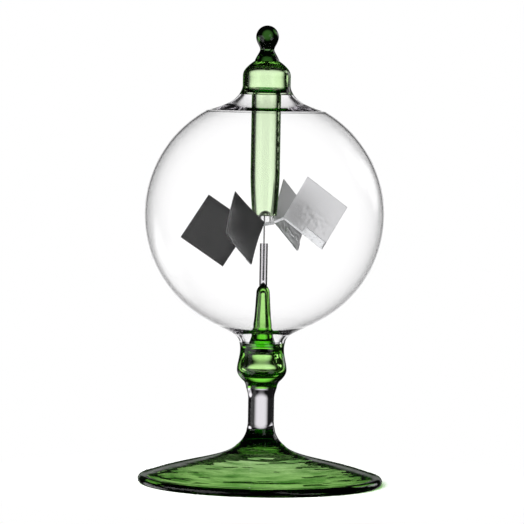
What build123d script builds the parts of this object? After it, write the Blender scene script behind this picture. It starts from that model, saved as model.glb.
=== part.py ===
from build123d import *
import math
import os

# A light-driven vane wheel that spins on a needle in an evacuated glass bulb.
# Sizes are in millimetres. Heights count up from the surface that the foot rests on,
# and the axis of the bulb is the Z axis. Curve shapes are shares of the way out and up.

# Foot
foot_radius = 61.2
foot_height = 28.0
foot_crown = 6.6
rim_bead_radius = 2.25
rim_bead_lift = 2.1
foot_knee_radius = 12.0
foot_knee_height = 19.5
foot_knee_wall = 2.7
foot_knee_slant = 56.3

# Stem
stem_radius = 6.56
stem_bore_radius = 4.0
stem_length = 20.4
stem_lower_radius = 7.0
stem_upper_radius = 7.75
stem_lower_flare = 3.5
stem_upper_flare = 5.4

# Knop between the stem and the bulb
knop_height = 22.6
knop_top_radius = 11.5
knop_waist_radius = 11.05
knop_waist_drop = 3.5
knop_belly_radius = 12.5
knop_belly_rise = 9.0
knop_collar_radius = 8.9
knop_collar_rise = 3.0
knop_wall = 2.3
knop_inner_belly_drop = 0.4
knop_floor = 4.8
knop_floor_edge = 3.8
knop_floor_radius = 7.2

# Seal rings, where an inner piece is fused into the wall round it
seal_thickness = 1.8
seal_ledge = 1.3
upper_seal_lift = 0.5
lower_seal_radius = 9.0
upper_seal_radius = 11.2

# Necks between the bulb and the coloured glass
lower_mouth_rise = 6.4
lower_mouth_radius = 14.5
lower_seam_radius = 27.0
upper_neck_height = 8.2
upper_seam_radius = 29.9
upper_neck_top_radius = 13.6

# Bulb
globe_radius = 60.0
globe_wall = 1.0

# Cap and what is on it
cap_height = 16.6
cap_radius = 12.0
cap_wall = 2.1
cap_skirt_height = 4.2
cap_side_height = 9.2
cap_roof = 1.2
cap_roof_radius = 6.3
cap_inner_side_rise = 1.0
tip_length = 3.3
tip_radius = 1.45
tip_head_radius = 1.9
tip_head_drop = 0.8
finial_base_radius = 6.2
finial_neck_radius = 3.55
finial_neck_height = 5.6
finial_ball_radius = 5.7
finial_ball_height = 11.9
finial_height = 17.7

# Guard tube, which keeps the bearing cup from lifting off the needle
guard_radius = 7.35
guard_wall = 1.47
guard_mouth_radius = 6.15
guard_taper_length = 24.0
guard_lip = 0.5

# Spike, glass rod and needle that carry the wheel
spike_base_radius = 6.6
spike_waist_radius = 4.0
spike_waist_drop = 15.6
spike_shoulder_radius = 3.35
spike_shoulder_drop = 4.8
spike_bore_top_radius = 1.3
spike_bore_base_radius = 2.3
spike_bore_start = 9.8
spike_bore_drop = 5.7
rod_radius = 2.0
rod_wrap = 1.7
needle_radius = 0.35
needle_play = 0.05
needle_bare_length = 15.5
needle_held_length = 18.5
needle_seat = 0.9
needle_point_length = 2.6

# Wheel, in its own frame, where the needle's point is the origin
pivot_rise = 1.42
guard_overlap = 1.6
lean_angle = 12.0
lean_azimuth = 177.0
arm_azimuths = (160.0, 246.0, 333.0, 63.0)
vane_twists = (9.0, -7.0, -2.0, -3.0)
bearing_gap = 0.05
cup_radius = 3.6
cup_wall = 0.9
cup_depth = 6.75
collar_height = 1.4
collar_wall = 0.5
collar_lift = 0.2
vane_side = 26.0
vane_thickness = 0.3
vane_inner_radius = 9.1
vane_centre_drop = 4.6
soot_thickness = 0.1
arm_width = 1.2
arm_thickness = 0.4
tab_length = 13.5
tab_width = 4.3

# How far the tools that cut a bore run past its open end
cut_overrun = 1.0

# Heights that follow from the sizes above
knop_base = foot_height + stem_length
knop_top = knop_base + knop_height
seal_base = knop_top - seal_thickness
globe_inner_radius = globe_radius - globe_wall
lower_mouth = knop_top + lower_mouth_rise
globe_centre = lower_mouth + math.sqrt(globe_inner_radius**2 - lower_mouth_radius**2)
lower_seam = globe_centre - math.sqrt(globe_radius**2 - lower_seam_radius**2)
upper_seam = globe_centre + math.sqrt(globe_radius**2 - upper_seam_radius**2)
cap_base = upper_seam + upper_neck_height
cap_top = cap_base + cap_height
cap_seal_top = cap_base + seal_thickness + upper_seal_lift
pivot_height = globe_centre + pivot_rise
guard_mouth = pivot_height - guard_overlap
rod_top = pivot_height - needle_bare_length
needle_base = rod_top - needle_held_length
spike_tip = needle_base - needle_seat


def at(radius, height):
    """A point of an outline, in the plane that is turned round the axis."""
    return Vector(radius, 0, height)


def bend(start, end, leave, arrive):
    """A smooth curve whose two handles are shares of the way out and up."""
    reach = end - start
    first = start + Vector(reach.X * leave[0], 0, reach.Z * leave[1])
    second = start + Vector(reach.X * arrive[0], 0, reach.Z * arrive[1])
    return Bezier(start, first, second, end)


def turned(*edges):
    """A solid of revolution from the edges of one closed outline."""
    return revolve(Face(Wire(edges)), Axis.Z)


def inner_globe_radius(height):
    """How wide the inside of the bulb is at a height."""
    return math.sqrt(globe_inner_radius**2 - (height - globe_centre) ** 2)


def make_foot():
    """The blown foot, hollow underneath, with a rolled rim that has a flat ring to rest on."""
    bead_centre = at(foot_radius - rim_bead_radius, rim_bead_lift)
    rest_half_width = math.sqrt(rim_bead_radius**2 - rim_bead_lift**2)

    def on_bead(degrees):
        """A point of the rolled rim, by its direction from the middle of the bead."""
        turn = math.radians(degrees)
        return bead_centre + rim_bead_radius * Vector(math.cos(turn), 0, math.sin(turn))

    top = at(stem_lower_radius, foot_height)
    knee = at(foot_knee_radius, foot_knee_height)
    rim = on_bead(100)
    rest_outer = at(bead_centre.X + rest_half_width, 0)
    rest_inner = at(bead_centre.X - rest_half_width, 0)
    under_rim = on_bead(195)
    slant = math.radians(foot_knee_slant)
    under_knee = knee - foot_knee_wall * at(math.cos(slant), math.sin(slant))
    crown = at(0, foot_height - foot_crown)
    return turned(
        bend(top, knee, (0.02, 0.29), (0.36, 0.72)),
        bend(knee, rim, (0.12, 0.43), (0.64, 0.55)),
        ThreePointArc(rim, on_bead(10), rest_outer),
        Line(rest_outer, rest_inner),
        ThreePointArc(rest_inner, on_bead(220), under_rim),
        bend(under_rim, under_knee, (0.33, 0.4), (0.88, 0.69)),
        bend(under_knee, crown, (0.34, 0.7), (0.7, 1.0)),
        Line(crown, at(0, foot_height)),
        Line(at(0, foot_height), top),
    )


def make_stem():
    """The clear tube between the foot and the knop, flared where it is fused to both."""
    foot_end = at(stem_lower_radius, foot_height)
    low = at(stem_radius, foot_height + stem_lower_flare)
    high = at(stem_radius, knop_base - stem_upper_flare)
    knop_end = at(stem_upper_radius, knop_base)
    bore_top = at(stem_bore_radius, knop_base)
    bore_foot = at(stem_bore_radius, foot_height)
    return turned(
        bend(foot_end, low, (0.5, 0.15), (1.0, 0.5)),
        Line(low, high),
        bend(high, knop_end, (0.0, 0.4), (0.6, 0.7)),
        Line(knop_end, bore_top),
        Line(bore_top, bore_foot),
        Line(bore_foot, foot_end),
    )


def make_knop():
    """The hollow coloured bulge that the bulb stands on, with a ledge for its seal ring."""
    collar = at(knop_collar_radius, knop_base + knop_collar_rise)
    belly = at(knop_belly_radius, knop_base + knop_belly_rise)
    waist = at(knop_waist_radius, knop_top - knop_waist_drop)
    top = at(knop_top_radius, knop_top)
    ledge = at(lower_seal_radius, seal_base)
    throat = at(lower_seal_radius - seal_ledge, seal_base)
    inner_belly = at(knop_belly_radius - knop_wall, belly.Z - knop_inner_belly_drop)
    floor_edge = at(knop_floor_radius, knop_base + knop_floor_edge)
    floor_centre = at(0, knop_base + knop_floor)
    return turned(
        Line(at(0, knop_base), at(stem_upper_radius, knop_base)),
        bend(at(stem_upper_radius, knop_base), collar, (0.1, 0.4), (0.4, 0.7)),
        bend(collar, belly, (0.42, 0.22), (1.0, 0.57)),
        bend(belly, waist, (0.0, 0.28), (1.0, 0.65)),
        bend(waist, top, (0.0, 0.3), (0.2, 0.7)),
        Line(top, at(lower_seal_radius, knop_top)),
        Line(at(lower_seal_radius, knop_top), ledge),
        Line(ledge, throat),
        bend(throat, inner_belly, (0.0, 0.35), (1.0, 0.72)),
        bend(inner_belly, floor_edge, (0.0, 0.45), (0.4, 0.95)),
        bend(floor_edge, floor_centre, (0.4, 0.7), (0.7, 1.0)),
        Line(floor_centre, at(0, knop_base)),
    )


def make_lower_neck():
    """The clear funnel under the bulb, whose inside carries on the inside of the bulb."""
    foot_end = at(knop_top_radius, knop_top)
    seam = at(lower_seam_radius, lower_seam)
    inner_seam = at(inner_globe_radius(lower_seam), lower_seam)
    mouth = at(lower_mouth_radius, lower_mouth)
    mid_radius = (lower_mouth_radius + inner_seam.X) / 2
    mid = at(mid_radius, globe_centre - math.sqrt(globe_inner_radius**2 - mid_radius**2))
    inner_end = at(lower_seal_radius, knop_top)
    return turned(
        bend(seam, foot_end, (0.42, 0.28), (1.0, 0.57)),
        Line(foot_end, inner_end),
        bend(inner_end, mouth, (0.0, 0.5), (0.5, 0.9)),
        ThreePointArc(mouth, mid, inner_seam),
        Line(inner_seam, seam),
    )


def make_globe():
    """The blown bulb, open at both seams."""
    low = at(lower_seam_radius, lower_seam)
    high = at(upper_seam_radius, upper_seam)
    inner_high = at(inner_globe_radius(upper_seam), upper_seam)
    inner_low = at(inner_globe_radius(lower_seam), lower_seam)
    return turned(
        ThreePointArc(low, at(globe_radius, globe_centre), high),
        Line(high, inner_high),
        ThreePointArc(inner_high, at(globe_inner_radius, globe_centre), inner_low),
        Line(inner_low, low),
    )


def make_upper_neck():
    """The clear funnel between the bulb and the cap."""
    seam = at(upper_seam_radius, upper_seam)
    top = at(upper_neck_top_radius, cap_base)
    inner_top = at(upper_seal_radius, cap_base)
    inner_seam = at(inner_globe_radius(upper_seam), upper_seam)
    return turned(
        bend(seam, top, (0.42, 0.2), (0.85, 0.54)),
        Line(top, inner_top),
        bend(inner_top, inner_seam, (0.11, 0.63), (0.59, 0.95)),
        Line(inner_seam, seam),
    )


def make_cap():
    """The thick coloured cap, with a ledge in its skirt for the seal ring."""
    skirt = at(upper_neck_top_radius, cap_base)
    side_low = at(cap_radius, cap_base + cap_skirt_height)
    side_high = at(cap_radius, cap_base + cap_side_height)
    shoulder = at(cap_roof_radius, cap_top)
    inner_radius = cap_radius - cap_wall
    inner_high = at(inner_radius, side_high.Z + cap_inner_side_rise)
    roof = at(0, cap_top - cap_roof)
    return turned(
        bend(skirt, side_low, (0.45, 0.3), (0.95, 0.6)),
        Line(side_low, side_high),
        bend(side_high, shoulder, (0.02, 0.34), (0.25, 0.58)),
        Line(shoulder, at(0, cap_top)),
        Line(at(0, cap_top), roof),
        bend(roof, inner_high, (0.5, 0.02), (0.97, 0.5)),
        Line(inner_high, at(inner_radius, cap_seal_top)),
        Line(at(inner_radius, cap_seal_top), at(upper_seal_radius, cap_seal_top)),
        Line(at(upper_seal_radius, cap_seal_top), at(upper_seal_radius, cap_base)),
        Line(at(upper_seal_radius, cap_base), skirt),
    )


def make_finial():
    """The solid ball on its short flared neck."""
    base = at(finial_base_radius, cap_top)
    neck = at(finial_neck_radius, cap_top + finial_neck_height)
    ball = at(finial_ball_radius, cap_top + finial_ball_height)
    top = at(0, cap_top + finial_height)
    return turned(
        Line(at(0, cap_top), base),
        bend(base, neck, (0.17, 0.32), (0.87, 0.71)),
        bend(neck, ball, (-0.02, 0.25), (0.95, 0.52)),
        bend(ball, top, (0.0, 0.552), (0.448, 1.0)),
        Line(top, at(0, cap_top)),
    )


def make_tip():
    """The sealed stub of the tube that the air was pumped out through, under the cap's roof."""
    top = cap_top - cap_roof
    head = at(tip_head_radius, top - tip_head_drop)
    foot = at(tip_radius, top - tip_length)
    stub = turned(
        Line(at(0, top + cap_roof / 2), at(tip_radius, top + cap_roof / 2)),
        Line(at(tip_radius, top + cap_roof / 2), head),
        bend(head, foot, (0.4, 0.3), (1.0, 0.5)),
        Line(foot, at(0, top - tip_length)),
        Line(at(0, top - tip_length), at(0, top + cap_roof / 2)),
    )
    return stub - make_cap()


def make_guard_tube():
    """The tube that hangs from the cap, drawn in a little at its open end."""
    top = at(guard_radius, cap_seal_top)
    taper = at(guard_radius, guard_mouth + guard_taper_length)
    mouth = at(guard_mouth_radius, guard_mouth + guard_lip)
    lip = at(guard_mouth_radius - guard_wall / 2, guard_mouth)
    inner_mouth = at(guard_mouth_radius - guard_wall, guard_mouth + guard_lip)
    inner_taper = at(guard_radius - guard_wall, guard_mouth + guard_taper_length)
    inner_top = at(guard_radius - guard_wall, cap_seal_top)
    return turned(
        Line(top, taper),
        bend(taper, mouth, (0.0, 0.45), (0.7, 0.8)),
        bend(mouth, lip, (0.0, 0.6), (0.4, 1.0)),
        bend(lip, inner_mouth, (0.6, 0.0), (1.0, 0.4)),
        bend(inner_mouth, inner_taper, (0.3, 0.2), (1.0, 0.55)),
        Line(inner_taper, inner_top),
        Line(inner_top, top),
    )


def make_ring(inner_radius, outer_radius, base, height):
    """A flat ring round the axis."""
    ring = Cylinder(outer_radius, height) - Cylinder(inner_radius, 2 * height)
    return Pos(0, 0, base + height / 2) * ring


def make_spike(hollow=True):
    """The pointed inner post, hollow in its upper half, that closes the bulb at its base."""
    shoulder_height = spike_tip - spike_shoulder_drop
    base = at(spike_base_radius, seal_base)
    skirt = at(spike_base_radius, knop_top)
    waist = at(spike_waist_radius, spike_tip - spike_waist_drop)
    shoulder = at(spike_shoulder_radius, shoulder_height)
    tip = at(0, spike_tip)
    post = turned(
        Line(at(0, seal_base), base),
        Line(base, skirt),
        bend(skirt, waist, (0.45, 0.25), (0.85, 0.6)),
        Line(waist, shoulder),
        bend(shoulder, tip, (0.05, 0.45), (0.75, 0.8)),
        Line(tip, at(0, seal_base)),
    )
    if not hollow:
        return post
    low = seal_base + spike_bore_start
    high = spike_tip - spike_bore_drop
    bore = turned(
        Line(at(0, low), at(spike_bore_base_radius, low)),
        Line(at(spike_bore_base_radius, low), at(spike_bore_top_radius, high)),
        bend(at(spike_bore_top_radius, high), at(0, high + spike_bore_top_radius), (0.0, 0.6), (0.5, 1.0)),
        Line(at(0, high + spike_bore_top_radius), at(0, low)),
    )
    return post - bore


def make_rod():
    """The clear glass rod fused round the spike's point, with a fine bore for the needle."""
    base = spike_tip - rod_wrap
    length = rod_top - base
    body = Pos(0, 0, base + length / 2) * Cylinder(rod_radius, length)
    bore_length = needle_held_length + cut_overrun
    bore_radius = needle_radius + needle_play
    bore = Pos(0, 0, needle_base + bore_length / 2) * Cylinder(bore_radius, bore_length)
    return body - bore - make_spike(hollow=False)


def make_needle():
    """The steel needle, whose point is the only thing the wheel stands on."""
    shoulder = at(needle_radius, pivot_height - needle_point_length)
    return turned(
        Line(at(0, needle_base), at(needle_radius, needle_base)),
        Line(at(needle_radius, needle_base), shoulder),
        Line(shoulder, at(0, pivot_height)),
        Line(at(0, pivot_height), at(0, needle_base)),
    )


def on_wheel(shape):
    """Leans a piece of the wheel as it leans in use, and puts it on the needle's point."""
    lean = Rot(0, 0, lean_azimuth) * Rot(0, lean_angle, 0) * Rot(0, 0, -lean_azimuth)
    return Pos(0, 0, pivot_height) * lean * shape


def make_cup():
    """The little glass thimble that turns on the needle's point."""
    inner = cup_radius - cup_wall
    centre = bearing_gap - inner
    dome = math.sqrt(0.5)
    return turned(
        Line(at(inner, -cup_depth), at(cup_radius, -cup_depth)),
        Line(at(cup_radius, -cup_depth), at(cup_radius, centre)),
        ThreePointArc(
            at(cup_radius, centre),
            at(cup_radius * dome, centre + cup_radius * dome),
            at(0, centre + cup_radius),
        ),
        Line(at(0, centre + cup_radius), at(0, centre + inner)),
        ThreePointArc(
            at(0, centre + inner),
            at(inner * dome, centre + inner * dome),
            at(inner, centre),
        ),
        Line(at(inner, centre), at(inner, -cup_depth)),
    )


def plate(points, near, thickness):
    """A flat plate in the upright plane of an arm, from y = near towards the bright side."""
    outline = Polyline(*[(x, 0, z) for x, z in points], close=True)
    return Pos(0, near, 0) * extrude(Face(Wire(outline.edges())), thickness, dir=(0, -1, 0))


def vane_corners():
    """The four corners of a vane, which stands on its point: inner, lowest, outer, highest."""
    half = vane_side * math.sqrt(0.5)
    middle = vane_inner_radius + half
    level = -vane_centre_drop
    return [(vane_inner_radius, level), (middle, level - half), (middle + half, level), (middle, level + half)]


def vane_place(number):
    """Where one vane's upright plane goes: out at its arm's azimuth, then twisted on its own middle."""
    middle = vane_corners()[1][0]
    twist = Pos(middle, 0, 0) * Rot(0, 0, vane_twists[number]) * Pos(-middle, 0, 0)
    return Rot(0, 0, arm_azimuths[number]) * twist


def make_vane(number):
    """A thin mica square."""
    return vane_place(number) * plate(vane_corners(), vane_thickness / 2, vane_thickness)


def make_soot(number):
    """The lamp-black layer on one face of a vane."""
    near = vane_thickness / 2 + soot_thickness
    return vane_place(number) * plate(vane_corners(), near, soot_thickness)


def make_arm(number):
    """An aluminium strip from the collar to a vane, then along its lower edge to a wide tab."""
    slope = math.sqrt(0.5)
    inner, lowest = vane_corners()[:2]
    tab_start = vane_side - tab_length

    def on_edge(along, inward):
        """A point at a distance along the vane's lower edge and in from it."""
        return (inner[0] + (along + inward) * slope, inner[1] + (inward - along) * slope)

    strip = vane_place(number) * plate(
        [
            on_edge(0.0, 0.0),
            lowest,
            on_edge(vane_side, tab_width),
            on_edge(tab_start, tab_width),
            on_edge(tab_start, arm_width),
            on_edge(0.0, arm_width),
        ],
        -vane_thickness / 2,
        arm_thickness,
    )
    collar_outer = cup_radius + collar_wall
    collar_middle = collar_lift - cup_depth + collar_height / 2
    root = (Rot(0, 0, arm_azimuths[number]) * Pos(collar_outer, 0, collar_middle)).position
    knee_offset = Pos(inner[0] + arm_width * slope, -(vane_thickness + arm_thickness) / 2, inner[1])
    knee = (vane_place(number) * knee_offset).position
    reach = knee - root
    bar_plane = Plane(origin=root, x_dir=Vector(0, 0, 1).cross(reach), z_dir=reach)
    bar = extrude(bar_plane * Rectangle(arm_thickness, arm_width), reach.length)
    collar_space = Pos(0, 0, collar_middle) * Cylinder(collar_outer, 4 * collar_height)
    return strip + bar - collar_space - make_vane(number) - make_soot(number)


pieces = {
    "foot": make_foot(),
    "stem": make_stem(),
    "knop": make_knop(),
    "lower_neck": make_lower_neck(),
    "lower_seal_ring": make_ring(spike_base_radius, lower_seal_radius, seal_base, seal_thickness),
    "globe": make_globe(),
    "upper_neck": make_upper_neck(),
    "upper_seal_ring": make_ring(
        guard_radius, upper_seal_radius, cap_seal_top - seal_thickness, seal_thickness
    ),
    "cap": make_cap(),
    "finial": make_finial(),
    "pump_tip": make_tip(),
    "guard_tube": make_guard_tube(),
    "spike": make_spike(),
    "glass_rod": make_rod(),
    "needle": make_needle(),
    "bearing_cup": on_wheel(make_cup()),
    "cup_collar": on_wheel(
        make_ring(cup_radius, cup_radius + collar_wall, collar_lift - cup_depth, collar_height)
    ),
}
for number in range(len(arm_azimuths)):
    pieces[f"arm_{number + 1}"] = on_wheel(make_arm(number))
    pieces[f"vane_{number + 1}"] = on_wheel(make_vane(number))
    pieces[f"soot_{number + 1}"] = on_wheel(make_soot(number))

os.makedirs("parts", exist_ok=True)
for name, shape in pieces.items():
    export_step(shape, f"parts/{name}.step")
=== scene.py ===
"""Looks for a glass light mill: blown glass, a needle bearing and a wheel of four vanes.

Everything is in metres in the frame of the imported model. Sizes that the frame holds are read
from it, and the rest are the model's own, in millimetres.
"""

import math
from types import SimpleNamespace

import bmesh
import bpy
from mathutils import Matrix, Vector, noise
from mathutils.geometry import interpolate_bezier


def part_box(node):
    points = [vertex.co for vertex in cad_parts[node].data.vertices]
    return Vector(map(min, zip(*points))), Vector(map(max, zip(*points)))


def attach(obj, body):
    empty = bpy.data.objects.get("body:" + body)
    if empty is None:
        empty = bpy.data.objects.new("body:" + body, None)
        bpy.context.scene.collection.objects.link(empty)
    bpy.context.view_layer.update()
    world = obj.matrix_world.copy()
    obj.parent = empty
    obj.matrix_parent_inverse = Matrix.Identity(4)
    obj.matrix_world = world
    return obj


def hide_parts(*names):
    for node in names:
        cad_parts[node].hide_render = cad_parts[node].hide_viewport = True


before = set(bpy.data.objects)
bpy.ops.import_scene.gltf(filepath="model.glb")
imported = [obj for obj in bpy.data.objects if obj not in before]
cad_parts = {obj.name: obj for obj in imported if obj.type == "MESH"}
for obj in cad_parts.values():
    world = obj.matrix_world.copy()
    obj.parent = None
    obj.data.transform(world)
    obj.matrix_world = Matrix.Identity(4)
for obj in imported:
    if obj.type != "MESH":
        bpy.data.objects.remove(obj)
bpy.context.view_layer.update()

bl_info = {
    "name": "Light mill",
    "version": (1, 0, 0),
    "blender": (4, 5, 0),
    "location": "View3D > Sidebar > Light mill",
    "description": "Builds the glass, the wheel and the stage of a light mill",
    "category": "Object",
}

MM = 0.001
SAME_PLACE = 1e-6
WHITE = (1, 1, 1, 1)


def low(node):
    """The height of a node's lowest point, in millimetres."""
    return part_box(node)[0][2] / MM


def high(node):
    """The height of a node's highest point, in millimetres."""
    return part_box(node)[1][2] / MM


def widest(node):
    """The largest radius of a node that is turned round the axis, in millimetres."""
    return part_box(node)[1][0] / MM


def linear(hex_colour):
    """An sRGB hex string as a linear colour with alpha."""
    parts = [int(hex_colour[i : i + 2], 16) / 255 for i in (1, 3, 5)]
    return tuple(c / 12.92 if c <= 0.04045 else ((c + 0.055) / 1.055) ** 2.4 for c in parts) + (1.0,)


def size_of(name, millimetres, description):
    """A size that a user can change. It is given here in millimetres and kept in metres."""
    return bpy.props.FloatProperty(
        name=name,
        default=millimetres * MM,
        description=description,
        min=0.0,
        unit="LENGTH",
        precision=5,
    )


def colour_of(name, hex_colour, description):
    """A colour that a user can change."""
    return bpy.props.FloatVectorProperty(
        name=name,
        default=linear(hex_colour),
        description=description,
        size=4,
        min=0.0,
        max=1.0,
        subtype="COLOR",
    )


class MillSizes(bpy.types.PropertyGroup):
    """Sizes that the frame's boxes don't tell. A lift is a height above the piece's lowest point."""

    joint_gap: size_of("Joint gap", 0.02, "Slit left between two pieces that are fused in life")

    foot_knee_wall: size_of("Foot knee wall", 2.7, "Thickness of the foot's glass at its knee")
    foot_crown: size_of("Foot crown", 6.6, "Glass between the hollow of the foot and the stem")
    foot_knee_radius: size_of("Foot knee radius", 12.0, "Where the foot turns from steep to flat")
    foot_knee_height: size_of("Foot knee height", 19.5, "Height of the same place")
    rim_bead_radius: size_of("Rim bead radius", 2.25, "Radius of the foot's rolled rim")
    rim_bead_lift: size_of("Rim bead lift", 2.1, "Height of the middle of the rolled rim")

    stem_radius: size_of("Stem radius", 6.56, "Outer radius between the stem's flares")
    stem_foot_radius: size_of("Stem foot radius", 7.0, "Outer radius where the stem meets the foot")
    stem_foot_flare: size_of("Stem foot flare", 3.5, "Height of the flare at the foot")
    stem_knop_flare: size_of("Stem knop flare", 5.4, "Height of the flare under the knop")

    knop_top_radius: size_of("Knop top radius", 11.5, "Outer radius where the knop meets the neck")
    knop_waist_radius: size_of("Knop waist radius", 11.05, "Outer radius at the knop's waist")
    knop_waist_drop: size_of("Knop waist drop", 3.5, "Depth of the waist under the knop's top")
    knop_belly_lift: size_of("Knop belly lift", 9.0, "Height of the widest place")
    knop_collar_radius: size_of("Knop collar radius", 8.9, "Outer radius under the knop's belly")
    knop_collar_lift: size_of("Knop collar lift", 3.0, "Height of the same place")
    hollow_floor_lift: size_of("Hollow floor lift", 6.6, "Lowest point of the knop's hollow")
    hollow_belly_radius: size_of("Hollow belly radius", 8.6, "Radius of the hollow at its widest")
    hollow_belly_lift: size_of("Hollow belly lift", 9.6, "Height of the same place")
    hollow_neck_radius: size_of("Hollow neck radius", 6.6, "Radius where the hollow closes in")
    hollow_neck_lift: size_of("Hollow neck lift", 15.6, "Height of the same place")
    hollow_top_lift: size_of("Hollow top lift", 20.0, "Highest point of the hollow")

    neck_mouth_radius: size_of("Neck mouth radius", 14.5, "Inner edge where the bulb opens downwards")
    globe_wall: size_of("Globe wall", 1.0, "Thickness of the bulb's glass")

    cap_radius: size_of("Cap radius", 12.0, "Outer radius of the cap's side")
    cap_side_low: size_of("Cap side low", 4.2, "Lift of the lower end of the cap's side")
    cap_side_high: size_of("Cap side high", 9.2, "Lift of the upper end of the cap's side")
    cap_shoulder_radius: size_of("Cap shoulder radius", 6.3, "Where the shoulder meets the finial")
    cap_wall: size_of("Cap wall", 2.1, "Thickness of the cap's glass")
    cap_inner_rise: size_of("Cap inner rise", 1.0, "How much further up the inner side goes")
    cap_roof: size_of("Cap roof", 1.2, "Thickness of the cap's roof")
    finial_neck_radius: size_of("Finial neck radius", 3.55, "Radius of the thinnest place")
    finial_neck_lift: size_of("Finial neck lift", 5.6, "Height of the same place")
    finial_ball_radius: size_of("Finial ball radius", 5.7, "Radius of the ball")
    finial_ball_lift: size_of("Finial ball lift", 11.9, "Height of the ball's middle")

    guard_wall: size_of("Guard tube wall", 1.47, "Thickness of the guard tube's glass")
    guard_mouth_radius: size_of("Guard mouth radius", 6.15, "Outer radius at the open end")
    guard_mouth_round: size_of("Guard mouth round", 0.5, "Height of the melted lip")
    guard_taper: size_of("Guard taper", 24.0, "Height over which the open end narrows")

    spike_waist_radius: size_of("Spike waist radius", 4.0, "Radius halfway up the spike")
    spike_waist_lift: size_of("Spike waist lift", 16.3, "Height of the same place")
    spike_shoulder_radius: size_of("Spike shoulder radius", 3.35, "Radius under the spike's point")
    spike_shoulder_drop: size_of("Spike shoulder drop", 4.8, "Depth of the same place under the tip")
    spike_bore_radius: size_of("Spike bore radius", 2.3, "Radius of the spike's hollow at its foot")
    spike_bore_top_radius: size_of("Spike bore top radius", 1.3, "Radius where the hollow rounds off")
    spike_bore_low: size_of("Spike bore low", 9.8, "Lift of the hollow's lower end")
    spike_bore_high: size_of("Spike bore high", 26.2, "Lift of the place where it rounds off")


class MillColours(bpy.types.PropertyGroup):
    """Colours of the materials."""

    green_glass: colour_of("Green glass", "#B4F439", "What passes the green glass")
    foot_glass: colour_of("Foot glass", "#A2DC2D", "What passes the darker glass of the foot")
    ball_glass: colour_of("Ball glass", "#BCD6AE", "What passes the thick ball on the cap")
    # Painted shade: the dark colour that green glass takes along its outline.
    glass_edge_painted_shade: colour_of("Glass edge", "#1B3312", "Outlines of the green glass")
    # Painted shade: the dark finish along the foot's outline.
    foot_edge_painted_shade: colour_of("Foot edge", "#14240F", "Outline of the foot")
    foot_cords: colour_of("Foot cords", "#6E9A62", "Darker streaks in the foot")
    clear_glass: colour_of("Clear glass", "#D8D3DB", "What passes the clear glass")
    aluminium: colour_of("Aluminium", "#D3D4D6", "Bare aluminium strip")
    silvering: colour_of("Silvering", "#F6F6F7", "Bright side of the vanes")
    lamp_black: colour_of("Lamp-black", "#1C1C1C", "Sooted side of the vanes")
    steel: colour_of("Needle steel", "#9A9B9D", "Drawn steel of the needle")
    floor: colour_of("Floor", "#F4F4F4", "The stage's floor")


def sizes():
    """The sizes as they are set now, in millimetres."""
    group = bpy.context.scene.mill_sizes
    return SimpleNamespace(**{name: getattr(group, name) / MM for name in MillSizes.__annotations__})


def colour(name):
    """A colour as it is set now."""
    return tuple(getattr(bpy.context.scene.mill_colours, name))


def add(tree, kind, settings=(), **sockets):
    """Adds a node. A socket's value is a number, a colour or another node's output.

    A socket is named by its own name, with underscores for spaces, or by its number after one.
    """
    node = tree.nodes.new(kind)
    for name, value in dict(settings).items():
        setattr(node, name, value)
    for name, value in sockets.items():
        key = int(name[1:]) if name[0] == "_" else name.replace("_", " ")
        if isinstance(value, bpy.types.NodeSocket):
            tree.links.new(value, node.inputs[key])
        else:
            node.inputs[key].default_value = value
    return node


def new_material(name):
    """A material with its node tree, which is None if the material was there already."""
    material = bpy.data.materials.get(name)
    if material is not None:
        return material, None
    material = bpy.data.materials.new(name)
    material.use_nodes = True
    material.node_tree.nodes.clear()
    return material, material.node_tree


def pattern(tree, across_mm, up_mm=None, **noise_sockets):
    """A noise whose grains have a real size, which can be stretched along the axis or round it."""
    place = add(tree, "ShaderNodeTexCoord").outputs["Object"]
    across = 1 / (across_mm * MM)
    if up_mm is None:
        return add(tree, "ShaderNodeTexNoise", Vector=place, Scale=across, **noise_sockets).outputs["Fac"]
    stretched = add(
        tree, "ShaderNodeMapping", Vector=place, Scale=(across, across, 1 / (up_mm * MM))
    ).outputs[0]
    return add(tree, "ShaderNodeTexNoise", Vector=stretched, Scale=1.0, **noise_sockets).outputs["Fac"]


def blown_surface(tree, ripple_mm, strength):
    """Bump for blown glass: soft rings from the turning of the gather, and slow swells."""
    wave = pattern(tree, 12 * ripple_mm, ripple_mm, Detail=2.0, Roughness=0.4)
    return add(tree, "ShaderNodeBump", Height=wave, Strength=strength, Distance=0.6 * MM).outputs[0]


def lets_light_by(tree, shader, tint):
    """Glass as the camera sees it, which lamps and soft light cross without bending."""
    path = add(tree, "ShaderNodeLightPath").outputs
    soft = add(
        tree,
        "ShaderNodeMath",
        {"operation": "MAXIMUM"},
        _0=path["Is Shadow Ray"],
        _1=path["Is Diffuse Ray"],
    )
    open_way = add(tree, "ShaderNodeBsdfTransparent", Color=tint)
    return add(
        tree, "ShaderNodeMixShader", Fac=soft.outputs[0], _1=shader, _2=open_way.outputs[0]
    ).outputs[0]


def glass_body(tree, shader, passes, tint, density):
    """Ends a glass: what its skin lets by, and how fast its body swallows light, per metre."""
    surface = lets_light_by(tree, shader, (passes, passes, passes, 1))
    body = add(tree, "ShaderNodeVolumeAbsorption", Color=tint, Density=density).outputs[0]
    add(tree, "ShaderNodeOutputMaterial", Surface=surface, Volume=body)


def outline_shade_mask(tree, start, end):
    """0 where glass is seen squarely and 1 along its outline, which marks where painted shade darkens the
    edges.
    """
    slant = add(tree, "ShaderNodeLayerWeight", Blend=0.5).outputs["Facing"]
    return add(
        tree,
        "ShaderNodeMapRange",
        {"interpolation_type": "SMOOTHSTEP"},
        Value=slant,
        _1=start,
        _2=end,
    ).outputs[0]


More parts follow.
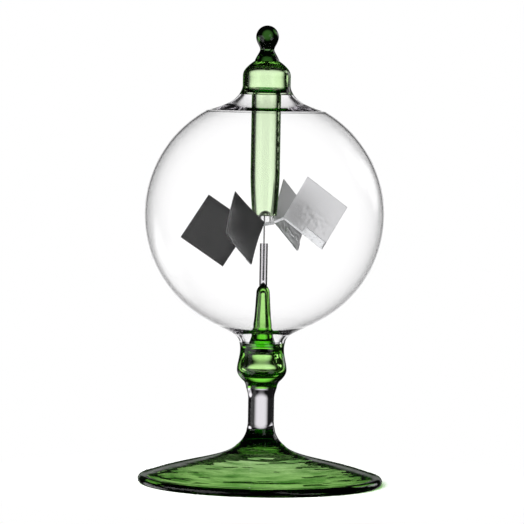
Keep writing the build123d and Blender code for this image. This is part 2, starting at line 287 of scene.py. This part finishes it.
def green_glass(name="green_blown_glass", tint="green_glass", density=145.0):
    """Forest-green blown soda glass: thin walls pale and thick ones nearly black, with painted shade
    darkening its edges towards black.
    """
    material, tree = new_material(name)
    if tree is None:
        return material
    # Painted shade: the colour darkens towards the edge colour along the outline, where the glass is seen
    # slanting.
    skin = add(
        tree,
        "ShaderNodeMix",
        {"data_type": "RGBA"},
        _0=outline_shade_mask(tree, 0.3, 0.62),
        _6=WHITE,
        _7=colour("glass_edge_painted_shade"),
    ).outputs[2]
    glass = add(
        tree,
        "ShaderNodeBsdfPrincipled",
        Base_Color=skin,
        Roughness=0.0,
        IOR=1.5,
        Transmission_Weight=1.0,
        Normal=blown_surface(tree, 5.0, 0.25),
    )
    glass_body(tree, glass.outputs[0], 0.97, colour(tint), density)
    return material


def deep_green_glass():
    """The same glass from a darker gather, as in the spike."""
    return green_glass("deep_green_blown_glass", density=330.0)


def ball_glass():
    """A solid ball of the same glass, so thick that only a soft grey-green spot shines through."""
    return green_glass("thick_green_ball_glass", "ball_glass", 640.0)


def seal_glass():
    """Green glass made to swallow light so fast that the seal shows as a nearly black band: painted shade
    for a glass disc seen edge-on.
    """
    # Painted shade: the body is made many times darker than the green glass, so the edge-on disc looks
    # black.
    return green_glass("melted_green_seal_glass", density=2500.0)


def foot_glass():
    """The darkest gather, spun out flat: level streaks of darker glass, and painted shade that turns its
    outline black.
    """
    material, tree = new_material("dark_green_foot_glass")
    if tree is None:
        return material
    streaks = pattern(tree, 22.0, 1.3, Detail=5.0, Roughness=0.6, Distortion=0.6)
    between = add(tree, "ShaderNodeMapRange", Value=streaks, _1=0.36, _2=0.6).outputs[0]
    cords = add(
        tree,
        "ShaderNodeMix",
        {"data_type": "RGBA"},
        _0=between,
        _6=colour("foot_cords"),
        _7=WHITE,
    ).outputs[2]
    glass = add(
        tree,
        "ShaderNodeBsdfPrincipled",
        Base_Color=cords,
        Roughness=0.0,
        IOR=1.5,
        Transmission_Weight=1.0,
        Normal=blown_surface(tree, 2.2, 0.8),
    )
    # Painted shade: a dark matt finish that takes over from the glass where the foot is seen slanting,
    # along its outline.
    outline = add(tree, "ShaderNodeBsdfDiffuse", Color=colour("foot_edge_painted_shade"))
    edge_shaded = add(
        tree,
        "ShaderNodeMixShader",
        Fac=outline_shade_mask(tree, 0.8, 0.93),
        _1=glass.outputs[0],
        _2=outline.outputs[0],
    )
    glass_body(tree, edge_shaded.outputs[0], 0.97, colour("foot_glass"), 480.0)
    return material


def clear_glass(name="clear_lampworked_glass", bending=1.48, density=70.0):
    """Clear lamp-worked glass with a trace of violet-grey that shows along its edges."""
    material, tree = new_material(name)
    if tree is None:
        return material
    glass = add(
        tree,
        "ShaderNodeBsdfPrincipled",
        Base_Color=WHITE,
        Roughness=0.0,
        IOR=bending,
        Transmission_Weight=1.0,
        Normal=blown_surface(tree, 9.0, 0.12),
    )
    glass_body(tree, glass.outputs[0], 0.98, colour("clear_glass"), density)
    return material


def bulb_glass():
    """The thin wall of the bulb and its necks, which shows little but its outline."""
    return clear_glass("thin_blown_clear_glass", 1.2, 30.0)


def rod_glass():
    """The drawn rod that holds the needle, which is nearly as clear as the bulb."""
    return clear_glass("drawn_clear_glass", 1.28, 200.0)


def opaque(name, colour_name, grain, roughness, bump=None, **sockets):
    """A finish that light doesn't enter, with a grain that varies its gloss and may stand proud.

    grain holds the pattern's sizes and sockets, roughness the least and most, and bump the
    strength and the height in metres.
    """
    material, tree = new_material(name)
    if tree is None:
        return material
    spots = pattern(tree, **grain)
    if roughness[0] == roughness[1]:
        gloss = roughness[0]
    else:
        gloss = add(
            tree, "ShaderNodeMapRange", Value=spots, _3=roughness[0], _4=roughness[1]
        ).outputs[0]
    if bump is not None:
        sockets["Normal"] = add(
            tree, "ShaderNodeBump", Height=spots, Strength=bump[0], Distance=bump[1]
        ).outputs[0]
    skin = add(
        tree, "ShaderNodeBsdfPrincipled", Base_Color=colour(colour_name), Roughness=gloss, **sockets
    )
    add(tree, "ShaderNodeOutputMaterial", Surface=skin.outputs[0])
    return material


def aluminium():
    """Soft sheet aluminium, cut and bent by hand: fine scratches and dull spots."""
    grain = {"across_mm": 0.8, "Detail": 4.0}
    return opaque(
        "cut_sheet_aluminium", "aluminium", grain, (0.18, 0.42), (0.5, 0.2 * MM), Metallic=0.6
    )


def silvering():
    """Silvered mica: bright and thin, nearly matt, with crinkles that catch the light."""
    grain = {"across_mm": 4.0, "Detail": 6.0, "Roughness": 0.62}
    return opaque(
        "silvered_mica", "silvering", grain, (0.3, 0.3), (0.6, 0.6 * MM), Metallic=0.05
    )


def lamp_black():
    """Lamp-black bound with a little lacquer: nearly black, with a low satin gloss."""
    grain = {"across_mm": 0.6, "Detail": 3.0}
    return opaque(
        "lacquered_lamp_black", "lamp_black", grain, (0.2, 0.3), (0.08, 0.1 * MM), IOR=1.75
    )


def needle_steel():
    """Drawn and polished steel wire, whose gloss runs in fine lines along it."""
    grain = {"across_mm": 0.1, "up_mm": 4.0, "Detail": 2.0}
    return opaque("drawn_steel", "steel", grain, (0.12, 0.3), Metallic=1.0)


def at(radius, height):
    """A point of an outline, in millimetres."""
    return Vector((radius, 0.0, height))


def bend(start, end, leave, arrive, steps=12):
    """Points of a smooth curve whose two handles are shares of the way out and up."""
    reach = end - start
    first = start + Vector((reach.x * leave[0], 0.0, reach.z * leave[1]))
    second = start + Vector((reach.x * arrive[0], 0.0, reach.z * arrive[1]))
    return interpolate_bezier(start, first, second, end, steps)


def arc(centre, radius, from_degrees, to_degrees, steps):
    """Points of an arc in the outline's plane. Zero degrees points away from the axis."""
    points = []
    for step in range(steps + 1):
        turn = math.radians(from_degrees + (to_degrees - from_degrees) * step / steps)
        points.append(centre + radius * Vector((math.cos(turn), 0.0, math.sin(turn))))
    return points


def joined(*stretches):
    """One list of points from several stretches, without the points that two of them share."""
    points = []
    for stretch in stretches:
        for point in stretch:
            if not points or (point - points[-1]).length > 1e-4:
                points.append(point)
    if (points[0] - points[-1]).length < 1e-4:
        points.pop()
    return points


def turned(points, steps=160):
    """A bmesh turned round the axis from the points of an outline in millimetres."""
    builder = bmesh.new()
    verts = [builder.verts.new(point * MM) for point in points]
    pairs = zip(verts, verts[1:] + verts[:1])
    edges = [builder.edges.new(pair) for pair in pairs if max(v.co.x for v in pair) > 1e-9]
    bmesh.ops.spin(
        builder,
        geom=verts + edges,
        cent=(0, 0, 0),
        axis=(0, 0, 1),
        angle=math.tau,
        steps=steps,
        use_merge=True,
    )
    merge_and_face_out(builder)
    return builder


def merge_and_face_out(builder):
    """Merges the points that lie in one place and turns the faces outwards."""
    bmesh.ops.remove_doubles(builder, verts=builder.verts, dist=SAME_PLACE)
    bmesh.ops.recalc_face_normals(builder, faces=builder.faces)


def with_hollow(outer, hollow):
    """Adds a closed hollow, whose faces look into it, to a solid piece."""
    bmesh.ops.reverse_faces(hollow, faces=hollow.faces)
    mesh = bpy.data.meshes.new("hollow")
    hollow.to_mesh(mesh)
    hollow.free()
    outer.from_mesh(mesh)
    bpy.data.meshes.remove(mesh)
    return outer


def show(builder, name, material, body, nodes, sharp_degrees=40.0):
    """Makes a piece from a bmesh, gives it its finish and says what it rides on and stands for."""
    mesh = bpy.data.meshes.new(name)
    builder.to_mesh(mesh)
    builder.free()
    mesh.shade_smooth()
    mesh.set_sharp_from_angle(angle=math.radians(sharp_degrees))
    piece = bpy.data.objects.new(name, mesh)
    bpy.context.scene.collection.objects.link(piece)
    piece.data.materials.append(material)
    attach(piece, body)
    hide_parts(*nodes)


class MILL_OT_foot(bpy.types.Operator):
    """Adds the domed foot with its rolled rim."""

    bl_idname = "mill.foot"
    bl_label = "Foot"

    def execute(self, context):
        s = sizes()
        bead = at(widest("foot") - s.rim_bead_radius, s.rim_bead_lift)
        rest = math.degrees(math.asin(s.rim_bead_lift / s.rim_bead_radius))
        rim = arc(bead, s.rim_bead_radius, 100, -rest, 14)
        under_rim = arc(bead, s.rim_bead_radius, 180 + rest, 195, 4)
        top = at(s.stem_foot_radius, high("foot") - s.joint_gap)
        knee = at(s.foot_knee_radius, s.foot_knee_height)
        across_knee = math.radians(56.3)
        under_knee = knee - s.foot_knee_wall * at(math.cos(across_knee), math.sin(across_knee))
        crown = at(0, high("foot") - s.foot_crown)
        outline = joined(
            bend(top, knee, (0.02, 0.29), (0.36, 0.72)),
            bend(knee, rim[0], (0.12, 0.43), (0.64, 0.55), 28),
            rim,
            under_rim,
            bend(under_rim[-1], under_knee, (0.33, 0.4), (0.88, 0.69), 28),
            bend(under_knee, crown, (0.34, 0.7), (0.7, 1.0)),
            [at(0, top.z), top],
        )
        show(turned(outline, 192), "foot_glass", foot_glass(), "stand", ["foot"])
        return {"FINISHED"}


class MILL_OT_stem(bpy.types.Operator):
    """Adds the clear stem."""

    bl_idname = "mill.stem"
    bl_label = "Stem"

    def execute(self, context):
        s = sizes()
        bottom, top = low("stem") + s.joint_gap, high("stem") - s.joint_gap
        foot_end = at(s.stem_foot_radius, bottom)
        lower = at(s.stem_radius, bottom + s.stem_foot_flare)
        upper = at(s.stem_radius, top - s.stem_knop_flare)
        knop_end = at(widest("stem"), top)
        outline = joined(
            bend(foot_end, lower, (0.5, 0.15), (1.0, 0.5)),
            [lower, upper],
            bend(upper, knop_end, (0.0, 0.4), (0.6, 0.7)),
            [at(0, top), at(0, bottom), foot_end],
        )
        show(turned(outline), "stem_glass", clear_glass(), "stand", ["stem"])
        return {"FINISHED"}


class MILL_OT_knop(bpy.types.Operator):
    """Adds the knop with its closed hollow."""

    bl_idname = "mill.knop"
    bl_label = "Knop"

    def execute(self, context):
        s = sizes()
        base, top_height = low("knop"), high("knop") - s.joint_gap
        ledge_height, ledge_radius = low("lower_seal_ring"), widest("lower_seal_ring")
        stem_end = at(widest("stem"), base)
        collar = at(s.knop_collar_radius, base + s.knop_collar_lift)
        belly = at(widest("knop"), base + s.knop_belly_lift)
        waist = at(s.knop_waist_radius, top_height - s.knop_waist_drop)
        top = at(s.knop_top_radius, top_height)
        outline = joined(
            [at(0, base), stem_end],
            bend(stem_end, collar, (0.1, 0.4), (0.4, 0.7)),
            bend(collar, belly, (0.42, 0.22), (1.0, 0.57)),
            bend(belly, waist, (0.0, 0.28), (1.0, 0.65)),
            bend(waist, top, (0.0, 0.3), (0.2, 0.7)),
            [at(ledge_radius, top_height), at(ledge_radius, ledge_height), at(0, ledge_height)],
        )
        floor = at(0, base + s.hollow_floor_lift)
        hollow_belly = at(s.hollow_belly_radius, base + s.hollow_belly_lift)
        hollow_neck = at(s.hollow_neck_radius, base + s.hollow_neck_lift)
        hollow_top = at(0, base + s.hollow_top_lift)
        hollow = joined(
            bend(floor, hollow_belly, (0.6, 0.0), (1.0, 0.35)),
            bend(hollow_belly, hollow_neck, (0.0, 0.4), (0.9, 0.7)),
            bend(hollow_neck, hollow_top, (0.0, 0.8), (0.6, 1.0)),
        )
        knop = with_hollow(turned(outline), turned(hollow, 96))
        show(knop, "knop_glass", green_glass(), "stand", ["knop"])
        return {"FINISHED"}


class MILL_OT_bulb(bpy.types.Operator):
    """Adds the bulb and its two clear necks, as one wall of glass."""

    bl_idname = "mill.bulb"
    bl_label = "Bulb"

    def execute(self, context):
        s = sizes()
        radius = widest("globe")
        inner = radius - s.globe_wall
        seam_low, seam_high = low("globe"), high("globe")
        low_radius, high_radius = widest("lower_neck"), widest("upper_neck")
        centre = at(0, seam_low + math.sqrt(radius**2 - low_radius**2))

        def angle(height, size):
            """Direction from the middle of the bulb to its wall at a height, in degrees."""
            return math.degrees(math.asin((height - centre.z) / size))

        mouth_turn = -math.degrees(math.acos(s.neck_mouth_radius / inner))
        inner_wall = arc(centre, inner, angle(seam_high, inner), mouth_turn, 72)
        knop_end = at(s.knop_top_radius, low("lower_neck") + s.joint_gap)
        ring_end = at(widest("lower_seal_ring"), knop_end.z)
        cap_end = at(widest("cap"), high("upper_neck") - s.joint_gap)
        tube_end = at(widest("upper_seal_ring"), cap_end.z)
        outline = joined(
            bend(knop_end, at(low_radius, seam_low), (0.0, 0.43), (0.58, 0.72), 20),
            arc(centre, radius, angle(seam_low, radius), angle(seam_high, radius), 72),
            bend(at(high_radius, seam_high), cap_end, (0.42, 0.2), (0.85, 0.54), 20),
            bend(tube_end, inner_wall[0], (0.11, 0.63), (0.59, 0.95), 20),
            inner_wall,
            bend(inner_wall[-1], ring_end, (0.5, 0.1), (1.0, 0.5)),
        )
        nodes = ["globe", "lower_neck", "upper_neck"]
        show(turned(outline, 192), "bulb_glass", bulb_glass(), "stand", nodes)
        return {"FINISHED"}


class MILL_OT_cap(bpy.types.Operator):
    """Adds the cap."""

    bl_idname = "mill.cap"
    bl_label = "Cap"

    def execute(self, context):
        s = sizes()
        base, top_height = low("cap"), high("cap") - s.joint_gap
        skirt = at(widest("cap"), base)
        side_low = at(s.cap_radius, base + s.cap_side_low)
        side_high = at(s.cap_radius, base + s.cap_side_high)
        shoulder = at(s.cap_shoulder_radius, top_height)
        roof = at(0, top_height - s.cap_roof)
        inner = s.cap_radius - s.cap_wall
        inner_high = at(inner, side_high.z + s.cap_inner_rise)
        ledge_height, ledge_radius = high("upper_seal_ring"), widest("upper_seal_ring")
        outline = joined(
            bend(skirt, side_low, (0.45, 0.3), (0.95, 0.6)),
            [side_low, side_high],
            bend(side_high, shoulder, (0.02, 0.34), (0.25, 0.58), 20),
            [at(0, top_height), roof],
            bend(roof, inner_high, (0.5, 0.02), (0.97, 0.5), 20),
            [at(inner, ledge_height), at(ledge_radius, ledge_height), at(ledge_radius, base), skirt],
        )
        show(turned(outline), "cap_glass", green_glass(), "stand", ["cap"])
        return {"FINISHED"}


class MILL_OT_finial(bpy.types.Operator):
    """Adds the solid ball on its flared neck."""

    bl_idname = "mill.finial"
    bl_label = "Finial"

    def execute(self, context):
        s = sizes()
        bottom = low("finial")
        skirt = at(widest("finial"), bottom)
        neck = at(s.finial_neck_radius, bottom + s.finial_neck_lift)
        ball = at(s.finial_ball_radius, bottom + s.finial_ball_lift)
        # The last curve is a quarter of a circle, as nearly as one curve can be.
        outline = joined(
            [at(0, bottom), skirt],
            bend(skirt, neck, (0.17, 0.32), (0.87, 0.71)),
            bend(neck, ball, (-0.02, 0.25), (0.95, 0.52), 18),
            bend(ball, at(0, high("finial")), (0.0, 0.552), (0.448, 1.0), 18),
        )
        show(turned(outline), "finial_glass", ball_glass(), "stand", ["finial"])
        return {"FINISHED"}


class MILL_OT_guard_tube(bpy.types.Operator):
    """Adds the tube that hangs from the cap over the bearing."""

    bl_idname = "mill.guard_tube"
    bl_label = "Guard tube"

    def execute(self, context):
        s = sizes()
        outer, inner = widest("guard_tube"), widest("guard_tube") - s.guard_wall
        mouth_height, top_height = low("guard_tube"), high("guard_tube")
        taper_height = mouth_height + s.guard_taper
        mouth = at(s.guard_mouth_radius, mouth_height + s.guard_mouth_round)
        lip = at(s.guard_mouth_radius - s.guard_wall / 2, mouth_height)
        inner_mouth = at(s.guard_mouth_radius - s.guard_wall, mouth.z)
        outline = joined(
            [at(outer, top_height), at(outer, taper_height)],
            bend(at(outer, taper_height), mouth, (0.0, 0.45), (0.7, 0.8), 20),
            bend(mouth, lip, (0.0, 0.6), (0.4, 1.0), 8),
            bend(lip, inner_mouth, (0.6, 0.0), (1.0, 0.4), 8),
            bend(inner_mouth, at(inner, taper_height), (0.3, 0.2), (1.0, 0.55), 20),
            [at(inner, top_height)],
        )
        tube = turned(outline, 128)
        show(tube, "guard_tube_glass", green_glass(), "stand", ["guard_tube"])
        return {"FINISHED"}


class MILL_OT_spike(bpy.types.Operator):
    """Adds the green spike with its closed hollow."""

    bl_idname = "mill.spike"
    bl_label = "Spike"

    def execute(self, context):
        s = sizes()
        base, tip_height = low("spike"), high("spike")
        skirt = at(widest("spike"), high("lower_seal_ring"))
        waist = at(s.spike_waist_radius, base + s.spike_waist_lift)
        shoulder = at(s.spike_shoulder_radius, tip_height - s.spike_shoulder_drop)
        outline = joined(
            [at(0, base), at(widest("spike"), base), skirt],
            bend(skirt, waist, (0.45, 0.25), (0.85, 0.6)),
            bend(shoulder, at(0, tip_height), (0.05, 0.45), (0.75, 0.8)),
        )
        bore_base = base + s.spike_bore_low
        bore_top = at(s.spike_bore_top_radius, base + s.spike_bore_high)
        bore_tip = at(0, bore_top.z + s.spike_bore_top_radius)
        bore = joined(
            [at(0, bore_base), at(s.spike_bore_radius, bore_base)],
            bend(bore_top, bore_tip, (0.0, 0.6), (0.5, 1.0)),
        )
        spike = with_hollow(turned(outline, 128), turned(bore, 64))
        show(spike, "spike_glass", deep_green_glass(), "stand", ["spike"])
        return {"FINISHED"}


def plate_axes(number):
    """A vane's middle, the way out of its bright side, its two side directions and half its side."""
    vane = [v.co.copy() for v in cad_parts[f"vane_{number}"].data.vertices]
    soot = [v.co.copy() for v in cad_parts[f"soot_{number}"].data.vertices]
    middle = sum(vane, Vector()) / len(vane)
    bright = (middle - sum(soot, Vector()) / len(soot)).normalized()
    high_corner = max(vane, key=lambda point: point.z) - middle
    up = (high_corner - bright * high_corner.dot(bright)).normalized()
    out = up.cross(bright)
    if out.dot(middle) < 0:
        out.negate()
    side_a = (up + out).normalized()
    side_b = (out - up).normalized()
    half = max((point - middle).dot(side_a) for point in vane)
    return middle, bright, side_a, side_b, half


# How each vane is buckled. Swell, crease and ruffle are in millimetres, and the crease lies at
# a share of the half side. The second vane's lower corner is bent off along a level line.
BUCKLES = {
    1: SimpleNamespace(swell=0.1, crease=0.0, crease_at=-0.9, ruffle=0.02),
    2: SimpleNamespace(swell=2.0, crease=1.8, crease_at=-0.33, ruffle=0.0),
    3: SimpleNamespace(swell=0.12, crease=0.25, crease_at=0.18, ruffle=0.12),
    4: SimpleNamespace(swell=0.15, crease=0.3, crease_at=-0.2, ruffle=0.16),
}
BENT_VANE = 2


def buckle(number, a, b):
    """How far a vane stands off its flat plane, from its own two coordinates, -1 to 1."""
    shape = BUCKLES[number]
    out, up = (a + b) / 2, (a - b) / 2
    if number == BENT_VANE:
        bent_off = max(0.0, shape.crease_at - up)
        return (shape.swell * (0.5 - out * out) - shape.crease * bent_off) * MM
    below = max(0.0, shape.crease_at + 0.12 * b - a)
    ruffles = noise.fractal(Vector((a * 2.2, b * 2.2, number * 7.0)) * 3.0, 1.0, 2.2, 4)
    lift = shape.swell * (1 - out * out) - shape.crease * below
    return (lift + shape.ruffle * ruffles * min(1.0, below * 4)) * MM


# Where the mica and the soot begin and end, in millimetres from the vane's middle plane.
MICA_LAYER = (-0.15, 0.15)
SOOT_LAYER = (-0.25, -0.16)


class MILL_OT_vanes(bpy.types.Operator):
    """Adds the four vanes as thin, slightly buckled sheets with a sooted side, and their arms."""

    bl_idname = "mill.vanes"
    bl_label = "Vanes"

    def execute(self, context):
        for number in range(1, 5):
            self.add_sheet(number, "vane", MICA_LAYER, silvering(), "silvered_mica")
            self.add_sheet(number, "soot", SOOT_LAYER, lamp_black(), "lamp_black")
            self.add_arm(number)
        return {"FINISHED"}

    def add_sheet(self, number, name, layer, finish, slot):
        """Adds one layer of a vane, buckled as the vane is."""
        middle, bright, side_a, side_b, half = plate_axes(number)
        sheet = bmesh.new()
        bmesh.ops.create_grid(sheet, x_segments=48, y_segments=48, size=1.0)
        far_side = bmesh.ops.extrude_face_region(sheet, geom=sheet.faces[:])["geom"]
        far_verts = {v for v in far_side if isinstance(v, bmesh.types.BMVert)}
        for vert in sheet.verts:
            a, b = vert.co.x, vert.co.y
            stand = layer[vert in far_verts] * MM + buckle(number, a, b)
            vert.co = middle + side_a * a * half + side_b * b * half + bright * stand
        merge_and_face_out(sheet)
        show(sheet, f"{name}_sheet_{number}", finish, "wheel", [f"{name}_{number}"])

    def add_arm(self, number):
        """Adds an arm: its solid's own shape, cut fine enough to follow the buckled vane."""
        middle, bright, side_a, side_b, half = plate_axes(number)
        node = f"arm_{number}"
        arm = bmesh.new()
        arm.from_mesh(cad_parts[node].data)
        bmesh.ops.remove_doubles(arm, verts=arm.verts, dist=SAME_PLACE)
        bmesh.ops.dissolve_limit(
            arm, angle_limit=math.radians(1.0), verts=arm.verts, edges=arm.edges
        )
        bmesh.ops.triangulate(arm, faces=arm.faces)
        for _ in range(4):
            long_edges = [edge for edge in arm.edges if edge.calc_length() > 1.0 * MM]
            bmesh.ops.subdivide_edges(arm, edges=long_edges, cuts=1)
            bmesh.ops.triangulate(arm, faces=arm.faces)
        reach = 1.01
        for vert in arm.verts:
            offset = vert.co - middle
            a, b = offset.dot(side_a) / half, offset.dot(side_b) / half
            if abs(a) <= reach and abs(b) <= reach and abs(offset.dot(bright)) < 0.8 * MM:
                eased = min(1.0, (reach - abs(b)) * 50)
                on_vane = buckle(number, max(-1, min(1, a)), max(-1, min(1, b)))
                vert.co += bright * on_vane * eased
        merge_and_face_out(arm)
        show(arm, f"arm_strip_{number}", aluminium(), "wheel", [node], 30.0)


class MILL_OT_finishes(bpy.types.Operator):
    """Gives the nodes that keep their own shape a finish."""

    bl_idname = "mill.finishes"
    bl_label = "Finishes"

    def execute(self, context):
        finishes = {
            "upper_seal_ring": seal_glass,
            "lower_seal_ring": green_glass,
            "pump_tip": green_glass,
            "glass_rod": rod_glass,
            "bearing_cup": clear_glass,
            "cup_collar": aluminium,
            "needle": needle_steel,
        }
        for node, make in finishes.items():
            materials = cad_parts[node].data.materials
            for index in range(len(materials)):
                materials[index] = make()
            if not materials:
                materials.append(make())
        return {"FINISHED"}


# What glass and metal mirror: round white patches between black flags, in degrees round the
# object from +X, up from level, in radius and in the softness of the edge, and how bright.
PANELS = (
    (90, -8, 15, 9, 1.1),
    (180, -5, 12, 6, 1.1),
    (135, -25, 13, 6, 1.1),
    (315, -15, 13, 6, 1.1),
    (212, -12, 26, 6, 1.1),
    (248, -7, 12, 5, 0.22),
    (298, 14, 12, 5, 0.8),
    (47, 10, 8, 6, 1.6),
    (32, 22, 8, 5, 0.9),
)
FLAG_GREY = 0.01
SOFT_LIGHT = 0.25


def brighter(tree, first, second):
    """The larger of two values."""
    return add(tree, "ShaderNodeMath", {"operation": "MAXIMUM"}, _0=first, _1=second).outputs[0]


def panel(tree, direction, azimuth, elevation, radius, softness, strength):
    """One white patch of the surroundings."""
    a, e = math.radians(azimuth), math.radians(elevation)
    middle = (math.cos(a) * math.cos(e), math.sin(a) * math.cos(e), math.sin(e))
    along = add(
        tree, "ShaderNodeVectorMath", {"operation": "DOT_PRODUCT"}, _0=direction, _1=middle
    ).outputs["Value"]
    return add(
        tree,
        "ShaderNodeMapRange",
        {"interpolation_type": "SMOOTHSTEP"},
        Value=along,
        _1=math.cos(math.radians(radius + softness)),
        _2=math.cos(math.radians(radius - softness)),
        _4=strength,
    ).outputs[0]


def build_world():
    """White behind the object for the camera, panels and flags for glass and metal, soft light."""
    world = bpy.data.worlds.new("studio")
    bpy.context.scene.world = world
    world.use_nodes = True
    tree = world.node_tree
    tree.nodes.clear()
    direction = add(tree, "ShaderNodeTexCoord").outputs["Generated"]
    surroundings = FLAG_GREY
    for settings in PANELS:
        surroundings = brighter(tree, panel(tree, direction, *settings), surroundings)
    path = add(tree, "ShaderNodeLightPath").outputs
    mirrored = brighter(tree, path["Is Glossy Ray"], path["Is Transmission Ray"])
    soft, seen_in_glass, backdrop = (
        add(tree, "ShaderNodeBackground", Color=WHITE, Strength=strength).outputs[0]
        for strength in (SOFT_LIGHT, surroundings, 1.0)
    )
    lit = add(tree, "ShaderNodeMixShader", Fac=mirrored, _1=soft, _2=seen_in_glass).outputs[0]
    seen = add(tree, "ShaderNodeMixShader", Fac=path["Is Camera Ray"], _1=lit, _2=backdrop)
    add(tree, "ShaderNodeOutputWorld", Surface=seen.outputs[0])


def floor_material():
    """Matt white paper near the object, which fades into the white background further out."""
    material, tree = new_material("matt_paper_floor")
    if tree is None:
        return material
    place = add(tree, "ShaderNodeTexCoord").outputs["Object"]
    away = add(tree, "ShaderNodeVectorMath", {"operation": "LENGTH"}, _0=place).outputs["Value"]
    fade = add(
        tree,
        "ShaderNodeMapRange",
        {"interpolation_type": "SMOOTHSTEP"},
        Value=away,
        _1=65 * MM,
        _2=160 * MM,
    ).outputs[0]
    seen = add(tree, "ShaderNodeLightPath").outputs["Is Camera Ray"]
    faded = add(tree, "ShaderNodeMath", {"operation": "MULTIPLY"}, _0=fade, _1=seen).outputs[0]
    paper = add(tree, "ShaderNodeBsdfDiffuse", Color=colour("floor"), Roughness=0.5).outputs[0]
    white = add(tree, "ShaderNodeEmission", Color=WHITE, Strength=1.0).outputs[0]
    mix = add(tree, "ShaderNodeMixShader", Fac=faded, _1=paper, _2=white)
    add(tree, "ShaderNodeOutputMaterial", Surface=mix.outputs[0])
    return material


def facing(place, aim):
    """The placing that looks from a place at an aim, the way up."""
    turn = (Vector(aim) - Vector(place)).to_track_quat("-Z", "Y")
    return Matrix.Translation(place) @ turn.to_matrix().to_4x4()


def add_lamp(name, place, watts):
    """A square soft box, 1.2 m wide, that glass and metal don't mirror."""
    light = bpy.data.lights.new(name, "AREA")
    light.shape = "SQUARE"
    light.size = 1.2
    light.energy = watts
    lamp = bpy.data.objects.new(name, light)
    lamp.matrix_world = facing(place, (0.0, 0.0, 0.12))
    lamp.visible_camera = False
    lamp.visible_glossy = False
    lamp.visible_transmission = False
    bpy.context.scene.collection.objects.link(lamp)


def add_floor():
    """A round floor, which glass and metal don't mirror."""
    builder = bmesh.new()
    bmesh.ops.create_circle(builder, cap_ends=True, segments=96, radius=3.0)
    mesh = bpy.data.meshes.new("floor")
    builder.to_mesh(mesh)
    builder.free()
    mesh.materials.append(floor_material())
    floor = bpy.data.objects.new("floor", mesh)
    bpy.context.scene.collection.objects.link(floor)
    floor.visible_glossy = False
    floor.visible_transmission = False


def add_camera():
    """A long lens two metres away, a little above the object and turned by a degree."""
    camera_data = bpy.data.cameras.new("camera")
    camera_data.sensor_width = 36.0
    camera_data.lens = 275.8
    camera_data.clip_start = 0.05
    camera_data.clip_end = 20.0
    camera = bpy.data.objects.new("camera", camera_data)
    roll = Matrix.Rotation(math.radians(1.0), 4, "Z")
    camera.matrix_world = facing((-0.0008, -2.0, 0.230), (-0.0008, 0.0, 0.1112)) @ roll
    bpy.context.scene.collection.objects.link(camera)
    bpy.context.scene.camera = camera


class MILL_OT_stage(bpy.types.Operator):
    """Adds the floor, the soft light, the white surroundings and the camera."""

    bl_idname = "mill.stage"
    bl_label = "Stage"

    def execute(self, context):
        build_world()
        add_floor()
        add_lamp("key", (-0.68, -1.24, 0.72), 46.0)
        add_lamp("top", (0.0, 0.1, 1.7), 6.0)
        add_camera()
        scene = context.scene
        scene.view_settings.view_transform = "Standard"
        scene.cycles.transmission_bounces = 24
        scene.cycles.glossy_bounces = 12
        scene.cycles.max_bounces = 32
        scene.cycles.transparent_max_bounces = 32
        return {"FINISHED"}


class MILL_PT_panel(bpy.types.Panel):
    """Lists the mill's operators."""

    bl_label = "Light mill"
    bl_space_type = "VIEW_3D"
    bl_region_type = "UI"
    bl_category = "Light mill"

    def draw(self, context):
        for operator in OPERATORS:
            self.layout.operator(operator.bl_idname)


OPERATORS = (
    MILL_OT_foot,
    MILL_OT_stem,
    MILL_OT_knop,
    MILL_OT_bulb,
    MILL_OT_cap,
    MILL_OT_finial,
    MILL_OT_guard_tube,
    MILL_OT_spike,
    MILL_OT_vanes,
    MILL_OT_finishes,
    MILL_OT_stage,
)
CLASSES = (MillSizes, MillColours, *OPERATORS, MILL_PT_panel)


def register():
    for cls in CLASSES:
        bpy.utils.register_class(cls)
    bpy.types.Scene.mill_sizes = bpy.props.PointerProperty(type=MillSizes)
    bpy.types.Scene.mill_colours = bpy.props.PointerProperty(type=MillColours)


def unregister():
    del bpy.types.Scene.mill_colours
    del bpy.types.Scene.mill_sizes
    for cls in reversed(CLASSES):
        bpy.utils.unregister_class(cls)


def main():
    """Builds everything."""
    register()
    for operator in OPERATORS:
        group, name = operator.bl_idname.split(".")
        getattr(getattr(bpy.ops, group), name)()


if __name__ == "__main__":
    main()
